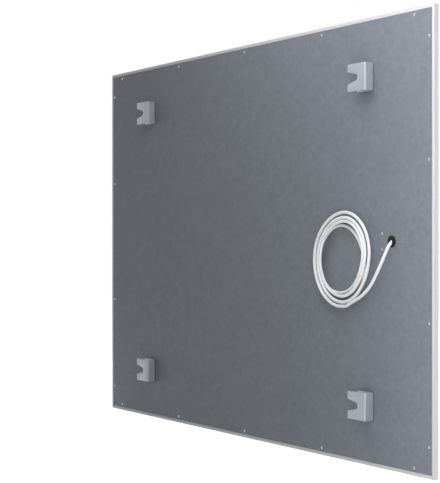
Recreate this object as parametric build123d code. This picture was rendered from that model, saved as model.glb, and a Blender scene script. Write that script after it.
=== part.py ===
from build123d import *
import math
import os

# Infrared panel heater: a folded steel tray with its heating layers inside, a back plate riveted
# into the tray's lip, and four notched brackets that hang it on wall studs.
# X is the width, Y the depth and Z the height. The front faces -Y. The origin is in the wall
# plane, behind the panel's middle. Lengths are millimetres and angles are degrees.

# ---- Tray and back plate
panel_width = 1200.0
panel_height = 800.0
tray_depth = 10.0
stand_off = 20.0  # from the wall to the back plate's outer face
tray_sheet = 1.0
plate_sheet = 0.8
plate_recess = 0.4  # the lip stands this far proud of the back plate
lip_width = 6.0
flange_reach = 22.0  # from the tray's outer edge to the flange's free edge
plate_play = 0.6  # between the lip and the back plate's edge
corner_round = 3.0
front_bend = 1.5
lip_round = 0.4

# ---- Rivets
rivet_head_d = 5.4
rivet_head_height = 1.0
rivet_shank_d = 2.9
rivet_hole_play = 0.1  # on the diameter
rivet_bulb_d = 4.2
rivet_bulb_length = 1.6
rivet_pocket_play = 1.0  # on the diameter, in the insulation board
edge_rivet_inset = 13.4  # from the tray's outer edge to a rivet's middle
corner_rivet_inset = 53.5  # from the tray's corner to its nearest rivet
long_side_rivets = 5
inner_rivet_gap = 276.6  # between the two middle rivets of a short side

# ---- Wall brackets
bracket_sheet = 2.0
bracket_height = 49.5
bracket_foot = 46.7
bracket_plate = 51.7
bracket_bend = 1.0  # inside radius
bracket_corner = 2.0
bracket_inset_left = 166.3  # from the tray's left edge to the left brackets' closed side
bracket_inset_right = 218.0  # from its right edge to the right brackets' closed side
bracket_inset_z = 106.5  # from the tray's top or bottom to a bracket's middle
notch_d = 12.0
notch_depth = 30.0
notch_mouth = 23.0
foot_rivet_x = 24.0  # from the bracket's closed side
foot_rivet_gap = 30.0

# ---- Lead bushing
bushing_inset = 114.6  # from the tray's left edge
bushing_flange_d = 21.0
bushing_flange = 2.0
bushing_edge = 0.7
bushing_body_d = 17.0
bushing_body = 2.4  # inward from the back plate's outer face
bushing_play = 0.2  # on the diameter
lock_ring_d = 20.0
lock_ring = 1.4

# ---- Terminal block
bushing_to_terminal = 27.7
terminal_rivet_gap = 28.0
pole_pitch = 7.0
block_width = 14.0
block_height = 6.0
block_body = 22.0
block_lug = 7.0
block_lug_height = 2.0
clamp_d = 4.2
clamp_bore_d = 2.2
clamp_length = 11.0
clamp_play = 0.1  # on the diameter
pole_depth = 2.9  # from the back plate's inner face to a pole's axis
clamp_screw_d = 2.4
clamp_screw_length = 2.0
clamp_screw_offset = 3.0
clamp_screw_sink = 0.3
screw_slot = 0.5

# ---- Heating layers, from the front
front_film_sheet = 0.3
carrier_sheet = 0.3
track_sheet = 0.15
rear_film_sheet = 0.3
foil_sheet = 0.15
layer_play = 4.0  # from the tray's side walls to the layers' edges
track_rows = 16
track_width = 12.0
track_margin_x = 30.0
track_margin_z = 55.0
pocket_before = 19.6  # how far the pocket goes past the bushing's middle
pocket_after = 13.0  # and past the earth stud's
pocket_half_height = 32.0

# ---- Wires, cut-outs and earth
core_d = 1.9
core_gap = 0.05
conductor_d = 1.2
block_entry = 0.5  # how far the insulation goes into the block
clamp_entry = 4.5  # how far a bare conductor goes in beyond that
core_first_run = 2.2  # straight part of a core at the sheath's end
core_last_run = 4.3  # and beside the block
wire_first_run = 2.5  # straight part of the other wires beside the block
wire_dip = 0.8  # how far the cut-out wires stay above their channel where they turn
wire_turn_z = (6.0, 18.0)  # past the pole, where they turn and where they lie in the channel
terminal_to_wire = 11.7
channel_width = 5.2
channel_depth = 3.4
cutout_z = 128.0
cutout_length = 16.0
cutout_width = 7.0
cutout_height = 3.6
tape_sheet = 0.15
tape_length = 8.0
tape_foot = 8.0
tape_play = 0.5
terminal_width = 5.0
terminal_length = 6.0
terminal_foot = 0.5
terminal_play = 1.5
barrel_bore_d = 1.4
terminal_to_stud = 30.7
earth_stud_d = 4.0
earth_stud_length = 5.5
earth_nut_across = 7.0
earth_nut_height = 2.4
earth_lug_d = 8.5
earth_lug_sheet = 0.8
earth_lug_neck = 6.5
earth_lug_waist = 3.2
earth_lug_overlap = 1.0  # of the neck over the barrel's closed end
earth_barrel_d = 3.4
earth_barrel_length = 5.0
thread_play = 0.1  # on the diameter

# ---- Power lead
lead_d = 6.0
lead_play = 0.5  # on the diameter, in the bushing
lead_lean = 42.0  # angle between the lead and the back plate where it comes out
lead_heading = 72.0  # below the X axis
lead_inside = 6.6  # along the lead, from the back plate's face to the sheath's inner end
lead_first_run = 9.2  # along the lead, from the back plate's face to its first bend's corner
plate_clearance = 0.4  # between the back plate and the turns that lie on it
layer_clearance = 0.8  # between the two layers of turns
bushing_to_coil = 139.4
coil_z = -33.0
upper_turns = (  # radius of each turn of the upper layer at its bottom, +X side, top and -X side
    (85.0, 81.6, 85.2, 86.6),
    (77.2, 70.8, 75.9, 74.0),
    (66.6, 63.6, 69.1, 67.1),
)
turn_lean = (-1.0, 0.0, 14.0, -15.0)  # growth of the radius per radian there, on top of the spiral's
lower_turns = (  # radius and its growth per radian there for the rest, on the back plate
    (60.2, 9.0), (74.5, -8.0), (62.3, -4.0), (64.0, 17.0),
    (78.3, 2.0), (81.4, -12.0),
)
end_core_length = 26.0
end_core_knee = 4.0  # straight part at the sheath's end
end_core_drift = (-1.2, 0.4, 1.4)  # how far each core leans sideways over its length
ferrule_wall = 0.3
ferrule_play = 0.1  # on the diameter
ferrule_length = 9.0

# ---- Places along X and Z
bushing_x = bushing_inset - panel_width / 2
terminal_x = bushing_x + bushing_to_terminal
wire_x = terminal_x + terminal_to_wire
earth_stud_x = terminal_x + terminal_to_stud
coil_x = bushing_x + bushing_to_coil
bracket_left_x = bracket_inset_left - panel_width / 2
bracket_right_x = panel_width / 2 - bracket_inset_right
bracket_z = panel_height / 2 - bracket_inset_z

# ---- Levels along Y
plate_y = -stand_off
plate_inner_y = plate_y - plate_sheet
flange_inner_y = plate_inner_y - tray_sheet
lip_y = plate_y + plate_recess
front_y = lip_y - tray_depth
front_film_y = front_y + tray_sheet
carrier_y = front_film_y + front_film_sheet
track_y = carrier_y + carrier_sheet
rear_film_y = track_y + track_sheet
foil_y = rear_film_y + rear_film_sheet
board_y = foil_y + foil_sheet
pole_y = plate_inner_y - pole_depth
wire_y = board_y + cutout_height / 2
ferrule_d = conductor_d + ferrule_play + 2 * ferrule_wall
lower_layer = plate_clearance + lead_d / 2
upper_layer = lower_layer + lead_d + layer_clearance


def block(x0, x1, y0, y1, z0, z1):
    """A box between two corners."""
    return Pos((x0 + x1) / 2, (y0 + y1) / 2, (z0 + z1) / 2) * Box(x1 - x0, y1 - y0, z1 - z0)


def rod(x, z, y0, y1, diameter):
    """A cylinder along Y."""
    return Pos(x, (y0 + y1) / 2, z) * Rot(90, 0, 0) * Cylinder(diameter / 2, y1 - y0)


def bar(x0, x1, y, z, diameter):
    """A cylinder along X."""
    return Pos((x0 + x1) / 2, y, z) * Rot(0, 90, 0) * Cylinder(diameter / 2, x1 - x0)


def slab(inset, y0, y1, corner):
    """A sheet with round corners, inset from the tray's outer edge."""
    outline = RectangleRounded(panel_width - 2 * inset, panel_height - 2 * inset, corner)
    return extrude(Plane((0, y0, 0), x_dir=(1, 0, 0), z_dir=(0, 1, 0)) * outline, amount=y1 - y0)


def frame_ring(outer_inset, inner_inset, y0, y1, corner):
    """A flat ring that runs round the tray."""
    return slab(outer_inset, y0, y1, corner) - slab(inner_inset, y0, y1, corner)


def edge_rivet_places():
    """The (x, z) of each rivet round the back plate."""
    reach = panel_width / 2 - corner_rivet_inset
    step = 2 * reach / (long_side_rivets - 1)
    row_z = panel_height / 2 - edge_rivet_inset
    column_x = panel_width / 2 - edge_rivet_inset
    row = [(step * i - reach, z) for i in range(long_side_rivets) for z in (-row_z, row_z)]
    outer_z = panel_height / 2 - corner_rivet_inset
    heights = (-outer_z, -inner_rivet_gap / 2, inner_rivet_gap / 2, outer_z)
    return row + [(x, z) for x in (-column_x, column_x) for z in heights]


def bracket_places():
    """Each bracket's name with its closed side's x and its middle's z."""
    return {
        "wall_bracket_top_left": (bracket_left_x, bracket_z),
        "wall_bracket_top_right": (bracket_right_x, bracket_z),
        "wall_bracket_bottom_left": (bracket_left_x, -bracket_z),
        "wall_bracket_bottom_right": (bracket_right_x, -bracket_z),
    }


def foot_rivet_places():
    """The (x, z) of the rivets in the brackets' feet."""
    sides = (-foot_rivet_gap / 2, foot_rivet_gap / 2)
    return [(x + foot_rivet_x, z + side) for x, z in bracket_places().values() for side in sides]


def terminal_rivet_places():
    """The (x, z) of the terminal block's rivets."""
    return [(terminal_x, -terminal_rivet_gap / 2), (terminal_x, terminal_rivet_gap / 2)]


def rivet_holes(places, y0, y1):
    """Holes for rivet shanks."""
    return [rod(x, z, y0, y1, rivet_shank_d + rivet_hole_play) for x, z in places]


def blind_rivet(x, z, face_y, grip):
    """A domed head on face_y, a shank through the grip and the upset end behind it."""
    head_r = rivet_head_d / 2
    shank_r = rivet_shank_d / 2
    rim = rivet_head_height / 4
    crown = rivet_head_height - rim
    dome_r = (head_r**2 + crown**2) / (2 * crown)
    shoulder_y = rivet_head_height - dome_r + math.sqrt(dome_r**2 - head_r**2 / 4)
    with BuildPart() as rivet:
        with BuildSketch():
            with BuildLine():
                ThreePointArc((head_r, rim), (head_r / 2, shoulder_y), (0, rivet_head_height))
                Polyline(
                    (0, rivet_head_height),
                    (0, -grip - rivet_bulb_length),
                    (shank_r, -grip - rivet_bulb_length),
                    (rivet_bulb_d / 2, -grip - rivet_bulb_length / 2),
                    (rivet_bulb_d / 2, -grip),
                    (shank_r, -grip),
                    (shank_r, 0),
                    (head_r, 0),
                    (head_r, rim),
                )
            make_face()
        revolve(axis=Axis.Y)
    return Pos(x, face_y, z) * rivet.part


def rivet_group(places, face_y, grip):
    """Like rivets as one group of separate solids."""
    return Compound(children=[blind_rivet(x, z, face_y, grip) for x, z in places])


def front_tray():
    """The folded tray: face, side walls, lip and the stepped flange that takes the rivets."""
    body = slab(0, front_y, lip_y, corner_round)
    body = fillet(body.edges().group_by(Axis.Y)[0], front_bend)
    body = fillet(body.edges().group_by(Axis.Y)[-1], lip_round)
    body -= slab(tray_sheet, front_film_y, lip_y - tray_sheet, corner_round - tray_sheet)
    body -= slab(lip_width, lip_y - tray_sheet, lip_y, corner_round - tray_sheet)
    step_inset = lip_width - tray_sheet
    body += frame_ring(step_inset, lip_width, flange_inner_y, lip_y - tray_sheet / 2, tray_sheet)
    body += frame_ring(step_inset, flange_reach, flange_inner_y, plate_inner_y, tray_sheet)
    return body - rivet_holes(edge_rivet_places(), flange_inner_y, plate_inner_y)


def back_plate():
    """The galvanised sheet behind the heating layers."""
    plate = slab(lip_width + plate_play, plate_inner_y, plate_y, corner_round - tray_sheet)
    places = edge_rivet_places() + foot_rivet_places() + terminal_rivet_places()
    plate -= rivet_holes(places, plate_inner_y, plate_y)
    return plate - rod(bushing_x, 0, plate_inner_y, plate_y, bushing_body_d + bushing_play)


def wall_bracket(closed_x, middle_z):
    """A folded bracket: foot on the back plate, side wall, and a notched plate at the wall."""
    half = bracket_sheet / 2
    mid_line = FilletPolyline(
        (bracket_foot, plate_y + half),
        (half, plate_y + half),
        (half, -half),
        (bracket_plate, -half),
        radius=bracket_bend + half,
    )
    body = extrude(trace(mid_line, line_width=bracket_sheet), amount=bracket_height / 2, both=True)
    body = fillet(body.edges().filter_by(Axis.Y).group_by(Axis.X)[-1], bracket_corner)
    foot_edges = body.edges().filter_by(Axis.Y).filter_by_position(
        Axis.X, bracket_foot - bracket_sheet, bracket_foot + bracket_sheet / 2)
    body = fillet(foot_edges, bracket_corner)
    return Pos(closed_x, 0, middle_z) * (body - notch() - foot_holes())


def notch():
    """The tapered notch with a round end that drops over a stud."""
    round_x = bracket_plate - notch_depth + notch_d / 2
    mouth_x = bracket_plate + bracket_sheet
    with BuildSketch(Plane((0, -bracket_sheet, 0), x_dir=(1, 0, 0), z_dir=(0, 1, 0))) as shape:
        with BuildLine():
            CenterArc((round_x, 0), notch_d / 2, 0, 360)
            Line((mouth_x, -notch_mouth / 2), (mouth_x, notch_mouth / 2))
        make_hull()
    return extrude(shape.sketch, amount=bracket_sheet)


def foot_holes():
    """The rivet holes in a bracket's foot, in the bracket's own place."""
    sides = (-foot_rivet_gap / 2, foot_rivet_gap / 2)
    places = [(foot_rivet_x, side) for side in sides]
    return rivet_holes(places, plate_y, plate_y + bracket_sheet)


def lead_direction():
    """The way the lead points where it comes out of the bushing."""
    lean = math.radians(lead_lean)
    heading = math.radians(lead_heading)
    along = math.cos(lean)
    return Vector(along * math.cos(heading), math.sin(lean), -along * math.sin(heading))


def along_lead(distance):
    """A point on the lead's axis, measured from the back plate's face at the bushing."""
    return Vector(bushing_x, plate_y, 0) + lead_direction() * distance


def lead_bushing():
    """A flanged bushing with a slanted passage for the lead."""
    flange = rod(bushing_x, 0, plate_y, plate_y + bushing_flange, bushing_flange_d)
    flange = fillet(flange.edges().group_by(Axis.Y)[-1], bushing_edge)
    body = rod(bushing_x, 0, plate_y - bushing_body, plate_y, bushing_body_d)
    bore_length = 4 * bushing_flange_d
    bore_plane = Plane(origin=along_lead(-bore_length / 2), z_dir=lead_direction())
    bore = extrude(bore_plane * Circle((lead_d + lead_play) / 2), amount=bore_length)
    return flange + body - bore


def bushing_lock_ring():
    """The ring that holds the bushing from inside."""
    low_y = plate_inner_y - lock_ring
    ring = rod(bushing_x, 0, low_y, plate_inner_y, lock_ring_d)
    return ring - rod(bushing_x, 0, low_y, plate_inner_y, bushing_body_d + bushing_play)


def pole_heights():
    """The z of the earth pole and of the poles each side of it."""
    return (-pole_pitch, 0.0, pole_pitch)


def screw_places():
    """The (x, z) of each clamp screw."""
    sides = (-clamp_screw_offset, clamp_screw_offset)
    return [(terminal_x + side, z) for z in pole_heights() for side in sides]


def terminal_block():
    """The block's body with a passage for each clamp, a well for each screw, and two lugs."""
    x0 = terminal_x - block_width / 2
    x1 = terminal_x + block_width / 2
    low_y = plate_inner_y - block_height
    half = block_body / 2
    body = block(x0, x1, low_y, plate_inner_y, -half, half)
    lug_y = plate_inner_y - block_lug_height
    body += block(x0, x1, lug_y, plate_inner_y, -half - block_lug, half + block_lug)
    body -= rivet_holes(terminal_rivet_places(), lug_y, plate_inner_y)
    body -= [bar(x0, x1, pole_y, z, clamp_d + clamp_play) for z in pole_heights()]
    well_d = clamp_screw_d + thread_play
    return body - [rod(x, z, low_y, pole_y, well_d) for x, z in screw_places()]


def terminal_clamps():
    """The brass tubes that hold the wires, one for each pole."""
    x0 = terminal_x - clamp_length / 2
    x1 = terminal_x + clamp_length / 2
    clamps = []
    for z in pole_heights():
        tube = bar(x0, x1, pole_y, z, clamp_d) - bar(x0, x1, pole_y, z, clamp_bore_d)
        places = [(x, screw_z) for x, screw_z in screw_places() if screw_z == z]
        holes = [rod(x, z, pole_y - clamp_d, pole_y, clamp_screw_d + thread_play) for x, z in places]
        clamps.append(tube - holes)
    return Compound(children=clamps)


def terminal_screws():
    """The slotted screws that press on the wires."""
    low_y = plate_inner_y - block_height + clamp_screw_sink
    screws = []
    for x, z in screw_places():
        screw = rod(x, z, low_y, low_y + clamp_screw_length, clamp_screw_d)
        half = screw_slot / 2
        reach = clamp_screw_d
        screws.append(screw - block(x - half, x + half, low_y, low_y + screw_slot,
                                    z - reach, z + reach))
    return Compound(children=screws)


def layer(y0, thickness):
    """One of the thin sheets that fill the tray."""
    return slab(tray_sheet + layer_play, y0, y0 + thickness, corner_round)


def track_row_heights():
    """The z of each run of the heating track, from the top."""
    top_z = panel_height / 2 - track_margin_z
    pitch = 2 * top_z / (track_rows - 1)
    return [top_z - pitch * i for i in range(track_rows)]


def resistance_track():
    """The flat track that runs to and fro across the carrier."""
    heights = track_row_heights()
    half = track_width / 2
    end_x = panel_width / 2 - track_margin_x
    runs = []
    for i, z in enumerate(heights):
        low_x = wire_x - terminal_width if i in (0, track_rows - 1) else -end_x
        runs.append(block(low_x, end_x, track_y, rear_film_y, z - half, z + half))
    for i in range(track_rows - 1):
        side = end_x - half if i % 2 == 0 else half - end_x
        low_z = heights[i + 1] - half
        runs.append(block(side - half, side + half, track_y, rear_film_y, low_z, heights[i] + half))
    return runs[0].fuse(*runs[1:])


def terminal_heights():
    """The z of the track's two ends."""
    return (track_row_heights()[0], track_row_heights()[-1])


def film_windows(y0, y1):
    """The openings that let the track's terminals through."""
    across = terminal_width / 2 + terminal_play
    tall = terminal_length / 2 + terminal_play
    x0 = wire_x - across
    return [block(x0, wire_x + across, y0, y1, z - tall, z + tall) for z in terminal_heights()]


def track_terminals():
    """A foot on each end of the track, with a barrel for the wire."""
    half = terminal_width / 2
    tall = terminal_length / 2
    terminals = []
    for z in terminal_heights():
        foot = block(wire_x - half, wire_x + half, rear_film_y, rear_film_y + terminal_foot,
                     z - tall, z + tall)
        post = block(wire_x - half / 2, wire_x + half / 2, rear_film_y, wire_y + half / 2,
                     z - tall, z + tall)
        bore = Pos(wire_x, wire_y, z) * Cylinder(barrel_bore_d / 2, 2 * terminal_length)
        terminals.append(foot + post - bore)
    return Compound(children=terminals)


def insulation_board():
    """The board behind the foil, stepped under the flange and hollowed for what lies in it."""
    board = slab(tray_sheet + layer_play, board_y, flange_inner_y, corner_round)
    board += slab(flange_reach + plate_play, board_y, plate_inner_y, corner_round)
    pocket_d = rivet_bulb_d + rivet_pocket_play
    low_y = flange_inner_y - rivet_bulb_length - rivet_pocket_play
    board -= [rod(x, z, low_y, flange_inner_y, pocket_d) for x, z in edge_rivet_places()]
    low_y = plate_inner_y - rivet_bulb_length - rivet_pocket_play
    board -= [rod(x, z, low_y, plate_inner_y, pocket_d) for x, z in foot_rivet_places()]
    tall = pocket_half_height
    board -= block(bushing_x - pocket_before, earth_stud_x + pocket_after,
                   board_y, plate_inner_y, -tall, tall)
    half = channel_width / 2
    end_z = terminal_heights()[0] + terminal_length
    top_y = board_y + channel_depth
    board -= block(wire_x - half, wire_x + half, board_y, top_y, -end_z, end_z)
    half = cutout_width / 2 + tape_sheet + tape_foot + tape_play
    tall = cutout_length / 2 + tape_play
    top_y = board_y + cutout_height + tape_sheet + tape_play
    for z in (-cutout_z, cutout_z):
        board -= block(wire_x - half, wire_x + half, board_y, top_y, z - tall, z + tall)
    return board


def thermal_cutout(z):
    """A flat bimetal cut-out that lies on the foil."""
    half = cutout_width / 2
    tall = cutout_length / 2
    body = block(wire_x - half, wire_x + half, board_y, board_y + cutout_height, z - tall, z + tall)
    return fillet(body.edges().filter_by(Axis.Z).group_by(Axis.Y)[-1], cutout_height / 4)


def cutout_tapes():
    """The foil tapes that hold the cut-outs down."""
    half = cutout_width / 2
    reach = half + tape_sheet + tape_foot
    tall = tape_length / 2
    tapes = []
    for z in (-cutout_z, cutout_z):
        feet = block(wire_x - reach, wire_x + reach, board_y, board_y + tape_sheet, z - tall, z + tall)
        top_y = board_y + cutout_height + tape_sheet
        side = half + tape_sheet
        cover = block(wire_x - side, wire_x + side, board_y, top_y, z - tall, z + tall)
        under = block(wire_x - half, wire_x + half, board_y, board_y + cutout_height,
                      z - tall, z + tall)
        tapes.append(feet + cover - under)
    return Compound(children=tapes)


def corner_radii(points):
    """At each corner, 0.45 of the shorter run, divided by the tangent of half the turn."""
    radii = []
    for before, corner, after in zip(points, points[1:], points[2:]):
        turn = (corner - before).get_angle(after - corner)
        shorter = min((corner - before).length, (after - corner).length)
        radii.append(0.45 * shorter / math.tan(math.radians(turn / 2)))
    return radii


def tube_path(points):
    """Straight runs with an arc at each corner."""
    places = [Vector(*point) for point in points]
    if len(places) == 2:
        return Wire([Edge.make_line(places[0], places[1])])
    return FilletPolyline(*places, radius=corner_radii(places)).wire()


def tube(path, diameter):
    """A round solid along a path."""
    start = Plane(origin=path @ 0, z_dir=path % 0)
    return sweep(start * Circle(diameter / 2), path=path)


def wire(points, bare_start=0, bare_end=0):
    """An insulated wire with its conductor bare at one end or both."""
    path = tube_path(points)
    body = tube(path, core_d)
    if bare_start:
        tip = Plane(origin=path @ 0, z_dir=-(path % 0))
        body += extrude(tip * Circle(conductor_d / 2), amount=bare_start)
    if bare_end:
        tip = Plane(origin=path @ 1, z_dir=path % 1)
        body += extrude(tip * Circle(conductor_d / 2), amount=bare_end)
    return body


def supply_core(offset, over, down, pole_z):
    """A core from the sheath's inner end, over and down to its pole, by (x, z) from the bushing."""
    heading = math.radians(lead_heading)
    sideways = Vector(math.sin(heading), 0, math.cos(heading))
    start = along_lead(-lead_inside) + sideways * offset * (core_d + core_gap)
    bend = start - lead_direction() * core_first_run
    end_x = terminal_x - block_width / 2 + block_entry
    points = [start, bend]
    points += [(bushing_x + x, bend.Y, z) for x, z in over]
    points += [(bushing_x + down[0], (bend.Y + pole_y) / 2, down[1])]
    points += [(end_x - core_last_run, pole_y, pole_z), (end_x, pole_y, pole_z)]
    return wire(points, bare_end=clamp_entry)


def cutout_wire(side):
    """A wire from the block to a cut-out, with its bare end in the clamp."""
    start_x = terminal_x + block_width / 2 - block_entry
    turn_z, channel_z = wire_turn_z
    points = [
        (start_x, pole_y, side * pole_pitch),
        (start_x + wire_first_run, pole_y, side * pole_pitch),
        (wire_x, wire_y + wire_dip, side * (pole_pitch + turn_z)),
        (wire_x, wire_y, side * (pole_pitch + channel_z)),
        (wire_x, wire_y, side * (cutout_z - cutout_length / 2)),
    ]
    return wire(points, bare_start=clamp_entry)


def track_link(side):
    """A wire from a cut-out to its end of the track, with its bare end in the barrel."""
    end_z = terminal_heights()[0] - terminal_length / 2
    points = [(wire_x, wire_y, side * (cutout_z + cutout_length / 2)), (wire_x, wire_y, side * end_z)]
    return wire(points, bare_end=terminal_length / 2)


def earth_barrel_start():
    """The x where the earth wire enters its lug."""
    return earth_stud_x - earth_lug_neck - earth_barrel_length


def earth_barrel_y():
    """The y of the axis of the lug's barrel."""
    return plate_inner_y - earth_barrel_d / 2


def earth_wire():
    """The wire from the block's middle pole to the earth lug."""
    start_x = terminal_x + block_width / 2 - block_entry
    end_x = earth_barrel_start()
    points = [
        (start_x, pole_y, 0),
        (start_x + wire_first_run, pole_y, 0),
        (end_x - wire_first_run, earth_barrel_y(), 0),
        (end_x, earth_barrel_y(), 0),
    ]
    return wire(points, bare_start=clamp_entry, bare_end=earth_barrel_length / 2)


def earth_lug():
    """A ring lug with its barrel."""
    low_y = plate_inner_y - earth_lug_sheet
    ring = rod(earth_stud_x, 0, low_y, plate_inner_y, earth_lug_d)
    neck_x = earth_barrel_start() + earth_barrel_length
    half = earth_lug_waist / 2
    root_x = neck_x - earth_lug_overlap
    ring += block(root_x, earth_stud_x, low_y, plate_inner_y, -half, half)
    ring -= rod(earth_stud_x, 0, low_y, plate_inner_y, earth_stud_d + thread_play)
    start_x = earth_barrel_start()
    barrel = bar(start_x, neck_x, earth_barrel_y(), 0, earth_barrel_d)
    return ring + barrel - bar(start_x, root_x, earth_barrel_y(), 0, barrel_bore_d)


def earth_stud():
    """The stud welded inside the back plate."""
    return rod(earth_stud_x, 0, plate_inner_y - earth_stud_length, plate_inner_y, earth_stud_d)


def earth_nut():
    """The nut that clamps the lug."""
    outline = RegularPolygon(earth_nut_across / 2, 6, major_radius=False)
    top_y = plate_inner_y - earth_lug_sheet
    nut = extrude(Plane((earth_stud_x, top_y, 0), x_dir=(1, 0, 0), z_dir=(0, -1, 0)) * outline,
                  amount=earth_nut_height)
    return nut - rod(earth_stud_x, 0, top_y - earth_nut_height, top_y, earth_stud_d + thread_play)


def coil_quarters():
    """Radius, its growth per radian and height over the back plate at each quarter turn."""
    radii = [radius for turn in upper_turns for radius in turn] + [lower_turns[0][0]]
    quarters = [(radii[0], 0.0, upper_layer)]
    for i in range(1, len(radii) - 1):
        growth = turn_lean[i % 4] + (radii[i + 1] - radii[i - 1]) / math.pi
        quarters.append((radii[i], growth, upper_layer))
    return quarters + [(radius, growth, lower_layer) for radius, growth in lower_turns]


def coil_knots():
    """The point and the direction of the cord at each quarter turn, from the bottom."""
    knots = []
    for i, (radius, growth, height) in enumerate(coil_quarters()):
        angle = math.radians(90 * i - 90)
        outward = Vector(math.cos(angle), 0, math.sin(angle))
        onward = Vector(-math.sin(angle), 0, math.cos(angle))
        point = Vector(coil_x, plate_y + height, coil_z) + outward * radius
        knots.append((point, (onward * radius + outward * growth).normalized()))
    return knots


def biarc(start, leaving, end, arriving):
    """Two arcs from start to end, tangent to the directions there and where they meet."""
    span = end - start
    spread = 1 - leaving.dot(arriving)
    run = span.dot(leaving + arriving)
    reach = (math.sqrt(run * run + 2 * spread * span.dot(span)) - run) / (2 * spread)
    first = start + leaving * reach
    second = end - arriving * reach
    middle = (first + second) / 2
    return [
        TangentArc(start, middle, tangent=leaving).edge(),
        TangentArc(middle, end, tangent=second - first).edge(),
    ]


def coil_path():
    """The coil's axis: a straight end, a biarc for each quarter turn and a straight end."""
    knots = coil_knots()
    first, first_way = knots[0]
    last, last_way = knots[-1]
    edges = [Edge.make_line(first - first_way * lead_d, first)]
    for (start, leaving), (end, arriving) in zip(knots, knots[1:]):
        edges += biarc(start, leaving, end, arriving)
    edges.append(Edge.make_line(last, last + last_way * lead_d))
    return Wire(edges)


def lead_route():
    """The free stretch: from inside the bushing to the coil, in the gap to the wall."""
    hand_points = [  # x from the bushing, height above the back plate, z
        (5.0, 9.5, -19.5),
        (15.8, 11.3, -36.5),
        (29.6, 11.2, -57.5),
        (47.3, 11.0, -80.0),
        (73.6, 10.9, -98.2),
        (102.0, 11.4, -109.8),
    ]
    joint = coil_path() @ 0
    route = [along_lead(-lead_inside), along_lead(lead_first_run)]
    route += [Vector(bushing_x + x, plate_y + height, z) for x, height, z in hand_points]
    return route + [joint - Vector(2 * lead_d, 0, 0), joint]


def end_core_places():
    """The start, knee and tip of each core that comes out of the sheath's free end."""
    path = coil_path()
    ahead = path % 1
    sideways = ahead.cross(Vector(0, 1, 0)).normalized()
    places = []
    for offset, drift in zip((-1, 0, 1), end_core_drift):
        start = path @ 1 + sideways * offset * (core_d + core_gap)
        knee = start + ahead * end_core_knee
        way = (ahead * end_core_length + sideways * drift).normalized()
        places.append((start, knee, knee + way * (end_core_length - end_core_knee)))
    return places


def lead_end_cores():
    """The cores of the lead's free end, with their conductors inside the ferrules."""
    bare = ferrule_length - ferrule_wall
    return Compound(children=[wire(places, bare_end=bare) for places in end_core_places()])


def lead_end_ferrules():
    """Crimped ferrules on the conductors."""
    ferrules = []
    bore_d = ferrule_d - 2 * ferrule_wall
    for start, knee, tip in end_core_places():
        face = Plane(origin=tip, z_dir=tip - knee)
        sleeve = extrude(face * Circle(ferrule_d / 2), amount=ferrule_length)
        bore = extrude(face * Circle(bore_d / 2), amount=ferrule_length - ferrule_wall)
        ferrules.append(sleeve - bore)
    return Compound(children=ferrules)


def least_self_gap(path, diameter):
    """The least gap between stretches of a cord more than a third of a turn apart."""
    step = diameter / 4
    count = int(path.length / step)
    points = [path @ (i / count) for i in range(count + 1)]
    points = [(point.X, point.Y, point.Z) for point in points]
    apart = int(2 * min(radius for radius, growth in lower_turns) / step)
    least = min(
        math.dist(points[i], points[j])
        for i in range(0, len(points), 2)
        for j in range(i + apart, len(points))
    )
    return least - diameter


def report_cord(name, path, solid):
    """Print a cord's length and compare its volume with section times length."""
    section = math.pi * (lead_d / 2) ** 2
    share = solid.volume / (section * path.length)
    print(f"{name}: length {path.length:.1f}, volume over section times length {share:.5f}")


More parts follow.
